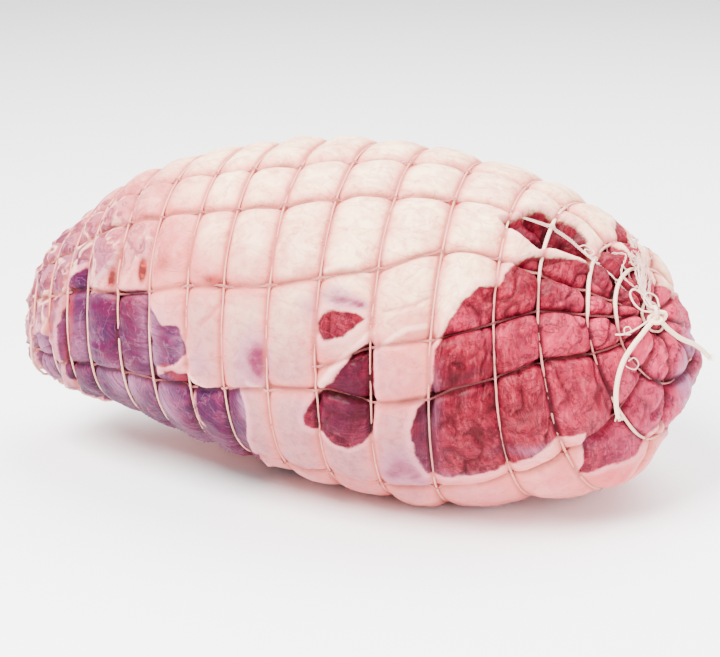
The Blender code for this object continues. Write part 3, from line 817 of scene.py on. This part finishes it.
def make_strands():
    """Knitted chain strands that run lengthwise over the hoops."""
    parts = []
    for k in range(STRANDS):
        start = HOOPS[SPLIT_HOOP] if k == 1 else SHANK_LOOP
        count = int((CUT_LOOP - start) / 0.62)
        s = np.linspace(start, CUT_LOOP, count)
        length = s - start
        near_end = end_share(s)
        to_hoop = np.min(np.abs(s[:, None] - CORD_ROWS), -1)
        drift = 0.025 * value_noise(np.stack((s / 11.0, s * 0 + k * 3.3, s * 0), -1), 51)
        column = np.full(count, float(k)) + drift * ramp(np.minimum(s, SKIN_END - s), 15.0, 60.0)
        column = np.clip(column, 0.0, STRANDS - 0.001) if k else column % STRANDS
        soaked, sunk = net_wear(s, angle_at(s, column))
        t, phi = body_place(s, angle_at(s, column))
        clean = tint(t, phi, CLEAN_STRAND)
        low_end = ramp(t, 205.0, 225.0) * ramp(phi, 62.0, 50.0)
        soaked = np.maximum(soaked, 0.9 * low_end)
        buried = ramp(value_noise(np.stack((s / 8.0, s * 0 + k * 7.7, s * 0), -1), 91), -0.3, 0.5)
        violet = tint(t, phi, VIOLET) * ramp(region(t, phi, LEAN_REGIONS), -1.0, 1.0)
        hidden = 0.7 * buried + 1.1 * violet + 0.9 * tint(t, phi, SHADED_RECESS) + 0.35 * sunk
        soaked = np.maximum(soaked, 0.9 * violet) + 0.22 * (1.0 - clean) * np.minimum(sunk, 1.0)
        raised = near_end * np.where(s > CAP_START, clean, 1.0) + 0.5 * clean
        depth = STRAND_SINK + sunk + 0.8 * low_end + hidden * (1.0 - clean) - raised
        depth = depth - 1.3 * (1.0 - near_end) * np.exp(-(to_hoop / 1.3) ** 2)
        points, normal = on_skin(s, column, depth)
        across, up = directions(points, normal, False)
        for ply in range(3):
            phase = 2.0 * math.pi * (length / 3.4 + ply / 3.0)
            side = (0.3 + 0.6 * clean) * np.sin(phase)
            rise = 0.15 * np.sin(2.0 * phase)
            path = points + across * side[:, None] + up * rise[:, None]
            verts, faces = tube(path, across, up, 0.13 + 0.06 * clean, 4, False)
            parts.append((verts, faces, soaked))
        for hoop in HOOPS:
            if hoop < start - 0.1:
                continue
            spot = int(np.argmin(np.abs(s - hoop)))
            ring = np.arange(12) * 2.0 * math.pi / 12
            along = np.cross(across[spot], up[spot])
            centre = points[spot] - up[spot] * 0.45
            loop = centre + 0.72 * (np.cos(ring)[:, None] * along + np.sin(ring)[:, None] * up[spot])
            loop = loop + across[spot] * (0.25 * np.sin(ring))[:, None]
            outward = loop - centre
            outward /= np.linalg.norm(outward, axis=1, keepdims=True)
            side, lift = directions(loop, outward, True)
            verts, faces = tube(loop, side, lift, 0.18, 4, True)
            parts.append((verts, faces, soaked[spot:spot + 1]))
    return joined("net_strands", parts)


def spline_through(points, count):
    """Smooth curve through points, evenly stepped."""
    points = np.asarray(points)
    knots = np.concatenate(([0.0], np.cumsum(np.linalg.norm(np.diff(points, axis=0), axis=1))))
    at = np.linspace(0.0, knots[-1], count)
    ghost = np.vstack((2 * points[0] - points[1], points, 2 * points[-1] - points[-2]))
    k = np.concatenate(([-(knots[1])], knots, [2 * knots[-1] - knots[-2]]))
    slope = (ghost[2:] - ghost[:-2]) / (k[2:] - k[:-2])[:, None]
    i = np.clip(np.searchsorted(knots, at, side="right") - 1, 0, len(knots) - 2)
    h = (knots[i + 1] - knots[i])[:, None]
    w = (at - knots[i])[:, None] / h
    return cubic(w, h, points[i], points[i + 1], slope[i], slope[i + 1])


def tie_axes():
    """Centre of the knot (mm) and three directions there."""
    base, centre = off_skin(((TIE_STATION, TIE_ANGLE, 0.0), (TIE_STATION, TIE_ANGLE, TIE_HEIGHT)))
    up = (centre - base) / np.linalg.norm(centre - base)
    side = np.cross(up, (0.0, 0.0, 1.0))
    side /= np.linalg.norm(side)
    return centre, side, np.cross(up, side), up


def make_knot():
    """Overhand knot of the end cord."""
    centre, side, third, up = tie_axes()
    a = np.linspace(0.0, 2.0 * math.pi, 181)[:-1]
    x = np.sin(a) + 2.0 * np.sin(2.0 * a)
    y = np.cos(a) - 2.0 * np.cos(2.0 * a)
    z = -KNOT_DEPTH * np.sin(3.0 * a)
    line = centre + KNOT_SCALE * (x[:, None] * side + y[:, None] * third + z[:, None] * up)
    outward = line - centre
    outward /= np.linalg.norm(outward, axis=1, keepdims=True)
    across, lift = directions(line, outward, True)
    verts, faces = tube(line, across, lift, KNOT_RADIUS, 10, True, 2, 2.1)
    return joined("tie_knot_cord", [(verts, faces, 0.0)])


def fray(tip, along, up, seed, count, reach):
    """Loose hairs at the end of a cord."""
    parts = []
    side = np.cross(along, up)
    for k in range(count):
        a = 2.399 * k + seed
        spread = 0.1 + 0.3 * ((k * 0.618 + seed) % 1.0)
        aim = along + spread * (math.cos(a) * side + 0.5 * abs(math.sin(a)) * up)
        aim /= np.linalg.norm(aim)
        bend = 0.5 * (math.cos(3.1 * a) * side + 0.4 * up)
        w = np.linspace(0.0, 1.0, 9)[:, None]
        size = reach * (0.6 + 0.4 * ((k * 0.37 + seed) % 1.0))
        start = tip - along * 0.8 + 0.5 * (math.cos(a) * side + math.sin(a) * up)
        line = start + aim * size * w + bend * size * w ** 2
        across, lift = directions(line, np.broadcast_to(up, line.shape).copy(), False)
        verts, faces = tube(line, across, lift, np.linspace(0.2, 0.07, 9), 4, False)
        parts.append((verts, faces, 0.0))
    return parts


def make_tail(name, rows, seed):
    """A loose end of the cord, with its frayed tip as a second piece."""
    knot_end = ((TIE_STATION, TIE_ANGLE, TIE_HEIGHT),)
    line = spline_through(off_skin(knot_end + tuple(rows)), 110)
    normal = np.broadcast_to((0.25, -0.75, 0.6), line.shape).copy()
    across, up = directions(line, normal, False)
    radius = np.full(len(line), TIE_RADIUS)
    radius[-6:] = np.linspace(TIE_RADIUS, 0.7, 6)
    verts, faces = tube(line, across, up, radius, 10, False, 2, 2.1)
    tail = joined(name, [(verts, faces, 0.0)])
    along = line[-1] - line[-3]
    along /= np.linalg.norm(along)
    tip = joined(name + "_fray", fray(line[-1], along, up[-1], seed, FRAY_HAIRS, FRAY_REACH))
    length = float(np.linalg.norm(np.diff(line, axis=0), axis=1).sum()) * MM
    path = (line[::3] - FRAME_SHIFT) * MM
    path = np.vstack((path, (line[-1] - FRAME_SHIFT) * MM))
    return tail, tip, path, length


# Loops of loose thread at the knot: station, angle and height over the skin, then the radius (mm).
KNOT_LOOPS = (
    (((256.6, 48, 2.9), (253.2, 47, 1.6), (250.2, 49, 1.0), (248.2, 53.5, 0.9), (249.4, 57.5, 1.0),
      (252.6, 57, 1.3), (256.2, 51, 2.4)), 0.36),
    (((257.2, 50, 2.9), (254.8, 51, 2.0), (253.2, 55, 1.4), (254.4, 60.5, 1.4), (257.4, 61, 1.9),
      (258.6, 54, 2.8)), 0.3),
    (((256.0, 43, 2.2), (253.0, 37, 1.3), (250.0, 32.8, 1.1), (247.4, 30.5, 0.6), (245.6, 30, -0.6)), 0.34),
    (((250.5, 33, 1.2), (249, 35, 1.4), (247.6, 33.5, 1.2), (248.2, 31, 1.0), (250, 31.5, 1.2)), 0.22),
    (((250.6, 18, 0.6), (252.5, 20, 0.9), (254.5, 17, 0.8), (253.5, 14, 0.7), (251, 14.5, 0.6),
      (249.5, 16, -0.2)), 0.22),
    (((228, 61, 1.2), (230, 63.5, 1.5), (233, 62.5, 1.6), (232, 60, 1.3), (229.5, 60, 1.0)), 0.22),
    (((233, 64, 1.0), (230, 61, 1.4), (233.5, 58.5, 1.2), (236, 60, 0.6)), 0.22),
)


def make_gather():
    """Thin threads of the net drawn together over the upper end, and a loop at the knot."""
    centre, side, third, up = tie_axes()
    parts = []
    for k in range(18):
        spread = (k * 0.618) % 1.0
        start_t = 240.0 + 8.0 * ((k * 0.37) % 1.0)
        first = 74.0 + 50.0 * spread
        rows = [(start_t, first, -0.8)]
        for m in range(1, 6):
            w = m / 6.0
            sway = 9.0 * math.sin(2.3 * k + 1.9 * m) * (1.0 - w)
            t = start_t + (TIE_STATION - 1.0 - start_t) * w + 2.5 * math.sin(1.1 * k + 2.6 * m) * (1.0 - w)
            rows.append((t, first + (TIE_ANGLE + 4.0 - first) * w + sway, 0.3 + 0.5 * w))
        points = off_skin(rows)
        end = centre + 1.1 * (math.cos(k * 2.4) * side + math.sin(k * 2.4) * third)
        line = spline_through(np.vstack((points, end - up * 0.6)), 60)
        across, lift = directions(line, np.broadcast_to(up, line.shape).copy(), False)
        for ply in range(2):
            phase = 2.0 * math.pi * (np.linspace(0, 1, 60) * 8.0 + ply / 2.0 + 0.37 * k)
            path = line + across * (0.26 * np.sin(phase))[:, None] + lift * (0.2 * np.cos(phase))[:, None]
            verts, faces = tube(path, across, lift, 0.15, 4, False)
            parts.append((verts, faces, 0.15 + 0.35 * spread))
    for rows, width in KNOT_LOOPS:
        line = spline_through(off_skin(rows), 80)
        across, lift = directions(line, np.broadcast_to(up, line.shape).copy(), False)
        verts, faces = tube(line, across, lift, width, 6, False, 2, 1.6)
        parts.append((verts, faces, 0.05))
    return joined("net_gather", parts)


# Materials.


class Look:
    """Short hand for building a node material."""

    def __init__(self, name):
        self.material = bpy.data.materials.new(name)
        self.material.use_nodes = True
        self.tree = self.material.node_tree
        self.shader = self.tree.nodes["Principled BSDF"]

    def put(self, socket, value):
        """Link a socket or set a plain value."""
        if isinstance(value, bpy.types.NodeSocket):
            self.tree.links.new(value, socket)
        elif socket.type == "RGBA":
            socket.default_value = (*value, 1.0)
        else:
            socket.default_value = value

    def add(self, kind, **inputs):
        """A node with its inputs set by name."""
        node = self.tree.nodes.new(kind)
        for name, value in inputs.items():
            self.put(node.inputs[name.replace("_", " ")], value)
        return node

    def fact(self, name, output="Fac"):
        """A value or vector kept on the mesh."""
        node = self.tree.nodes.new("ShaderNodeAttribute")
        node.attribute_name = name
        return node.outputs[output]

    def place(self):
        """Position on the object."""
        return self.tree.nodes.new("ShaderNodeTexCoord").outputs["Object"]

    def stretch(self, vector, scale):
        """The vector with each part scaled."""
        node = self.add("ShaderNodeVectorMath")
        node.operation = "MULTIPLY"
        self.put(node.inputs[0], vector)
        self.put(node.inputs[1], scale)
        return node.outputs["Vector"]

    def noise(self, vector, scale, detail=3.0, rough=0.55, twist=0.0):
        """Noise, 0 to 1."""
        node = self.add("ShaderNodeTexNoise", Vector=vector, Scale=scale, Detail=detail, Roughness=rough)
        self.put(node.inputs["Distortion"], twist)
        return node.outputs["Fac"]

    def calc(self, kind, a, b=0.0, c=0.0):
        """Arithmetic."""
        node = self.tree.nodes.new("ShaderNodeMath")
        node.operation = kind
        for socket, value in zip(node.inputs, (a, b, c)):
            self.put(socket, value)
        return node.outputs["Value"]

    def times(self, a, b):
        """Product of two values."""
        return self.calc("MULTIPLY", a, b)

    def away(self, value, level):
        """How far a value is from a level."""
        return self.calc("ABSOLUTE", self.calc("SUBTRACT", value, level))

    def step(self, value, low, high, to_low=0.0, to_high=1.0):
        """Smooth step between two values."""
        node = self.tree.nodes.new("ShaderNodeMapRange")
        node.interpolation_type = "SMOOTHSTEP"
        names = ("Value", "From Min", "From Max", "To Min", "To Max")
        for socket, setting in zip(names, (value, low, high, to_low, to_high)):
            self.put(node.inputs[socket], setting)
        return node.outputs["Result"]

    def mix(self, factor, a, b):
        """Blend of two colours."""
        node = self.tree.nodes.new("ShaderNodeMix")
        node.data_type = "RGBA"
        self.put(node.inputs[0], factor)
        self.put(node.inputs[6], a)
        self.put(node.inputs[7], b)
        return node.outputs[2]

    def bump(self, height, distance, strength, under=None):
        """Relief for the light only."""
        node = self.add("ShaderNodeBump", Height=height, Distance=distance, Strength=strength)
        if under is not None:
            self.put(node.inputs["Normal"], under)
        return node.outputs["Normal"]

    def set(self, **inputs):
        """Set sockets of the shader."""
        for name, value in inputs.items():
            self.put(self.shader.inputs[name.replace("_", " ")], value)


def meat_material():
    """Fat cover, red and violet lean, silverskin, and painted shade in the grooves, creases, recesses and
    pocket.
    """
    look = Look("raw_lamb")
    place = look.place()
    flow = look.fact("flow", "Vector")
    fine = look.noise(place, 420.0, 4.0, 0.6)
    broad = look.noise(place, 46.0, 4.0, 0.6, 0.4)
    patch = look.noise(place, 95.0, 3.0, 0.55, 0.8)
    shade = look.fact("shade")
    mid = look.noise(place, 130.0, 4.0, 0.6, 1.0)

    fat = look.mix(look.step(broad, 0.36, 0.66), (0.8, 0.28, 0.25), (0.66, 0.16, 0.17))
    fat = look.mix(look.step(mid, 0.48, 0.64, 0.0, 0.55), fat, (0.6, 0.1, 0.115))
    blush = look.times(look.fact("blush"), look.step(patch, 0.25, 0.7, 0.5, 1.0))
    fat = look.mix(blush, fat, (0.54, 0.05, 0.072))
    cream = look.times(look.fact("cream"), look.step(patch, 0.3, 0.6, 0.6, 1.0))
    cream = look.times(cream, look.step(blush, 0.2, 1.0, 1.0, 0.25))
    cream = look.times(cream, look.step(mid, 0.42, 0.64, 1.0, 0.6))
    pits = look.noise(place, 310.0, 4.0, 0.62, 0.5)
    worn_fat = look.mix(blush, (0.64, 0.19, 0.16), (0.34, 0.035, 0.05))
    fat = look.mix(look.step(pits, 0.48, 0.66, 0.0, 0.45), fat, worn_fat)
    fat = look.mix(look.step(look.fact("tile"), 0.45, 1.0, 0.0, 0.35), fat, (0.68, 0.24, 0.23))
    cream = look.times(cream, look.step(pits, 0.48, 0.72, 1.0, 0.7))
    fat = look.mix(cream, fat, (1.0, 0.75, 0.46))
    dull = look.mix(look.step(pits, 0.42, 0.68), (0.31, 0.125, 0.15), (0.2, 0.07, 0.1))
    fat = look.mix(look.times(look.fact("grey"), 0.8), fat, dull)
    fat = look.mix(look.times(look.step(shade, 0.0, 0.75), 0.75), fat, (0.64, 0.14, 0.12))
    veins = look.away(look.noise(place, 42.0, 3.0, 0.5, 0.6), 0.5)
    fat = look.mix(look.step(veins, 0.028, 0.0, 0.0, 0.26), fat, (0.56, 0.12, 0.12))
    silk = look.noise(look.stretch(flow, (75.0, 130.0, 1.0)), 1.0, 5.0, 0.6, 0.5)
    silk = look.step(look.away(silk, 0.47), 0.03, 0.0)
    fat = look.mix(look.times(silk, 0.3), fat, (0.6, 0.16, 0.14))
    fat = look.mix(look.step(look.fact("folds"), -0.2, -0.9, 0.0, 0.6), fat, (0.5, 0.1, 0.1))
    fat = look.mix(look.step(look.fact("folds"), 0.2, 0.8, 0.0, 0.6), fat, (0.95, 0.62, 0.5))
    bruise = look.times(look.fact("bruise"), look.step(patch, 0.2, 0.6, 0.6, 1.0))
    fat = look.mix(look.step(bruise, 0.05, 0.5, 0.0, 0.65), fat, (0.33, 0.12, 0.2))
    fat = look.mix(look.step(bruise, 0.4, 0.95, 0.0, 0.95), fat, (0.15, 0.006, 0.045))
    spots = look.noise(place, 190.0, 5.0, 0.65, 1.2)
    blots = look.mix(look.step(patch, 0.38, 0.6), (0.07, 0.012, 0.035), (0.2, 0.035, 0.055))
    worn = look.times(look.fact("mottled"), look.step(spots, 0.47, 0.55))
    fat = look.mix(look.times(look.fact("mottled"), 0.7), fat, (0.22, 0.07, 0.11))
    fat = look.mix(look.times(worn, 0.9), fat, blots)
    ridges = look.times(look.fact("mottled"), look.step(look.fact("wrinkles"), 0.25, 0.45))
    fat = look.mix(look.times(ridges, 0.75), fat, (0.85, 0.42, 0.33))
    bloody = look.step(look.fact("bloody"), 0.15, 0.7)
    blood = look.mix(look.step(spots, 0.42, 0.56), (0.09, 0.004, 0.004), (0.32, 0.025, 0.018))
    fat = look.mix(look.times(bloody, 0.95), fat, blood)

    fibres = look.mix(
        look.fact("round_fibres"),
        look.stretch(flow, (110.0, 620.0, 1.0)),
        look.stretch(flow, (560.0, 170.0, 1.0)),
    )
    streak = look.noise(fibres, 1.0, 5.0, 0.68, 0.8)
    clump = look.noise(place, 150.0, 4.0, 0.65, 1.0)
    red = look.mix(look.step(clump, 0.32, 0.66), (0.07, 0.0008, 0.005), (0.22, 0.004, 0.019))
    red = look.mix(look.times(look.fact("pale"), 0.85), red, (0.8, 0.04, 0.12))
    pale_streak = look.mix(look.fact("pale"), (0.42, 0.026, 0.055), (0.85, 0.16, 0.24))
    red = look.mix(look.times(look.step(streak, 0.48, 0.7), 0.6), red, pale_streak)
    membrane = look.noise(look.stretch(flow, (150.0, 80.0, 1.0)), 1.0, 4.0, 0.6, 0.8)
    membrane = look.away(membrane, 0.5)
    red = look.mix(look.step(membrane, 0.04, 0.0, 0.0, 0.15), red, (0.5, 0.1, 0.13))
    # Painted shade: thin dark creases in the red lean, in colour only.
    furrow_shade = look.away(look.noise(place, 175.0, 4.0, 0.6, 0.9), 0.47)
    red = look.mix(look.step(furrow_shade, 0.035, 0.0, 0.0, 0.65), red, (0.05, 0.0002, 0.004))
    red = look.mix(look.step(mid, 0.45, 0.68, 0.0, 0.5), red, (0.075, 0.0003, 0.008))
    purple = look.mix(look.step(broad, 0.32, 0.66), (0.025, 0.002, 0.026), (0.07, 0.0024, 0.028))
    purple = look.mix(look.step(clump, 0.5, 0.68, 0.0, 0.5), purple, (0.16, 0.012, 0.055))
    purple = look.mix(look.step(streak, 0.5, 0.8, 0.0, 0.22), purple, (0.18, 0.035, 0.095))
    purple = look.mix(look.step(membrane, 0.02, 0.0, 0.0, 0.2), purple, (0.36, 0.15, 0.25))
    lean = look.mix(look.fact("violet"), red, purple)
    lean = look.mix(look.times(bloody, 0.6), lean, (0.22, 0.003, 0.012))
    film = look.times(look.fact("silver"), look.step(streak, 0.35, 0.6, 0.35, 1.0))
    lean = look.mix(film, lean, (0.38, 0.15, 0.27))
    # Painted shade over the recessed places of the lean.
    lean = look.mix(look.times(look.fact("shaded_recess"), 0.95), lean, (0.026, 0.0001, 0.0095))
    lean = look.mix(look.step(shade, 0.45, 1.0, 0.0, 0.55), lean, (0.06, 0.001, 0.006))

    edge = look.calc("ADD", look.fact("lean"), look.times(look.calc("SUBTRACT", fine, 0.5), 1.4))
    is_lean = look.step(edge, -0.45, 0.45)
    colour = look.mix(is_lean, fat, lean)
    rim = look.times(look.step(edge, -3.0, -0.7), look.step(edge, 0.0, -0.4))
    colour = look.mix(look.times(rim, 0.5), colour, (0.66, 0.24, 0.28))
    # Painted shade: fat and lean darkened along the grooves of the hoops and strands.
    groove = look.step(look.fact("groove"), 0.25, 1.0)
    groove_shade = look.mix(is_lean, (0.36, 0.07, 0.06), (0.02, 0.0003, 0.0015))
    colour = look.mix(look.times(groove, 0.8), colour, groove_shade)
    # Painted shade in the creases along the strands, stronger on the fat than on the lean.
    seam = look.times(look.fact("seam"), look.step(is_lean, 0.0, 1.0, 0.75, 0.3))
    colour = look.mix(seam, colour, (0.19, 0.035, 0.028))
    # Painted shade in the creases of the lean.
    colour = look.mix(look.times(look.fact("crease"), 0.7), colour, (0.03, 0.0003, 0.0015))
    # Painted shade inside the pocket under the fat flap.
    colour = look.mix(look.fact("cavity"), colour, (0.02, 0.0003, 0.0015))

    lumps = look.noise(place, 240.0, 3.0, 0.6)
    relief = look.bump(mid, 0.0016, 0.35)
    relief = look.bump(lumps, 0.0008, 0.55, relief)
    relief = look.bump(pits, 0.0007, 0.5, relief)
    silk = look.times(silk, look.step(is_lean, 0.0, 1.0, -1.0, 0.0))
    relief = look.bump(silk, 0.0005, 0.5, relief)
    relief = look.bump(fine, 0.0004, look.calc("MULTIPLY_ADD", is_lean, 0.35, 0.25), relief)
    grain = look.times(is_lean, look.step(look.fact("violet"), 0.0, 1.0, 0.7, 0.25))
    relief = look.bump(streak, 0.0014, grain, relief)
    dullness = look.step(is_lean, 0.0, 1.0, 0.42, 0.32)
    rough = look.calc("MULTIPLY_ADD", look.noise(place, 180.0, 3.0), 0.25, dullness)
    opaque = look.calc("MAXIMUM", is_lean, look.fact("mottled"))
    look.set(
        Base_Color=colour,
        Roughness=rough,
        IOR=1.4,
        Subsurface_Weight=look.step(opaque, 0.0, 1.0, 0.28, 0.12),
        Subsurface_Radius=(0.8, 0.25, 0.18),
        Subsurface_Scale=0.003,
        Coat_Weight=look.step(is_lean, 0.0, 1.0, 0.12, 0.04),
        Coat_Roughness=0.16,
        Specular_IOR_Level=0.1,
        Normal=relief,
    )
    return look.material


def cord_material(name, colour, soaked):
    """Wrapped cream cord with fine fibres and meat juice in it."""
    look = Look(name)
    place = look.place()
    fibre = look.noise(place, 2600.0, 3.0, 0.6)
    blot = look.noise(place, 90.0, 3.0, 0.6)
    tone = look.mix(look.step(fibre, 0.3, 0.7), tuple(c * 0.78 for c in colour), colour)
    wet = look.calc("ADD", look.fact("soaked"), look.times(look.calc("SUBTRACT", blot, 0.5), 0.5))
    tone = look.mix(look.step(wet, 0.0, 1.0), tone, soaked)
    tone = look.mix(look.step(wet, 0.85, 1.1, 0.0, 0.85), tone, (0.14, 0.012, 0.018))
    look.set(
        Base_Color=tone,
        Roughness=look.step(fibre, 0.2, 0.8, 0.5, 0.75),
        Subsurface_Weight=0.15,
        Subsurface_Radius=(0.7, 0.5, 0.4),
        Subsurface_Scale=0.0008,
        Sheen_Weight=0.1,
        Normal=look.bump(fibre, 0.0002, 0.7),
    )
    return look.material


def floor_material():
    """Plain pale backdrop."""
    look = Look("pale_floor")
    look.set(Base_Color=(0.93, 0.93, 0.93), Roughness=0.8)
    return look.material


# Scene.


def placed(name, data, place, ahead):
    """An object at a place, turned to look along a direction."""
    obj = bpy.data.objects.new(name, data)
    obj.location = place
    obj.rotation_mode = "QUATERNION"
    obj.rotation_quaternion = Vector(ahead).to_track_quat("-Z", "Y")
    bpy.context.scene.collection.objects.link(obj)
    return obj


def light(name, place, aim, size, power, colour):
    """Soft area light."""
    data = bpy.data.lights.new(name, "AREA")
    data.energy = power
    data.color = colour
    data.size = size
    placed(name, data, place, np.array(aim) - np.array(place))


CAMERA_AZIMUTH = 14.5
CAMERA_ELEVATION = 18.0
CAMERA_DISTANCE = 0.636
CAMERA_LENS = 90.0


def make_camera():
    """Camera at the photograph's viewing angle."""
    look_at = (np.array((-0.9, 0.0, 55.0 - SINK)) - FRAME_SHIFT) * MM
    a = CAMERA_AZIMUTH * DEG
    e = CAMERA_ELEVATION * DEG
    back = np.array((math.sin(a) * math.cos(e), -math.cos(a) * math.cos(e), math.sin(e)))
    data = bpy.data.cameras.new("camera")
    data.lens = CAMERA_LENS
    data.sensor_width = 36.0
    data.sensor_fit = "HORIZONTAL"
    data.clip_start = 0.01
    bpy.context.scene.camera = placed("camera", data, look_at + back * CAMERA_DISTANCE, -back)


def make_stage():
    """Pale floor and soft studio light."""
    size = 3.0
    points = np.array(((-size, -size, 0.0), (size, -size, 0.0), (size, size, 0.0), (-size, size, 0.0)))
    floor = build_mesh("floor", points, [np.array(((0, 1, 2, 3),))])
    floor.location.z = -0.0006
    floor.data.materials.append(floor_material())
    light("key", (-0.35, -0.55, 0.95), (0.0, 0.0, 0.05), 0.6, 60.0, (1.0, 0.985, 0.96))
    light("top", (0.25, 0.35, 1.05), (0.0, 0.0, 0.05), 0.9, 36.0, (1.0, 1.0, 1.0))
    light("side", (0.85, -0.6, 0.45), (0.05, 0.0, 0.05), 0.6, 11.0, (0.97, 0.98, 1.0))
    world = bpy.data.worlds.new("studio")
    world.use_nodes = True
    world.node_tree.nodes["Background"].inputs["Color"].default_value = (1.0, 1.0, 1.0, 1.0)
    world.node_tree.nodes["Background"].inputs["Strength"].default_value = 0.95
    bpy.context.scene.world = world


def settle(obj, mat, slot, *nodes):
    """Give a piece its material and body, and hide the CAD nodes it stands for. The slot is not used."""
    obj.data.materials.append(mat)
    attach(obj, "root")
    if nodes:
        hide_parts(*nodes)


def main():
    """Dress the frame."""
    elastic = cord_material("elastic_net", (0.93, 0.6, 0.43), (0.55, 0.15, 0.13))
    thread = cord_material("net_thread", (0.86, 0.58, 0.48), (0.4, 0.08, 0.075))
    twine = cord_material("cotton_tie", (0.95, 0.66, 0.47), (0.6, 0.3, 0.25))
    settle(make_meat(), meat_material(), "raw_lamb", "joint")
    settle(make_hoops(), elastic, "elastic_net", "net")
    settle(make_strands(), thread, "elastic_net")
    settle(make_gather(), thread, "elastic_net")
    settle(make_knot(), twine, "cotton_tie", "tie_knot")
    for name, rows, seed in (("tail_front", TAIL_FRONT, 0.3), ("tail_side", TAIL_SIDE, 1.9)):
        tail, tip, path, length = make_tail(name + "_cord", rows, seed)
        settle(tail, twine, "cotton_tie", name)
        settle(tip, twine, "cotton_tie")
    make_stage()
    make_camera()


main()
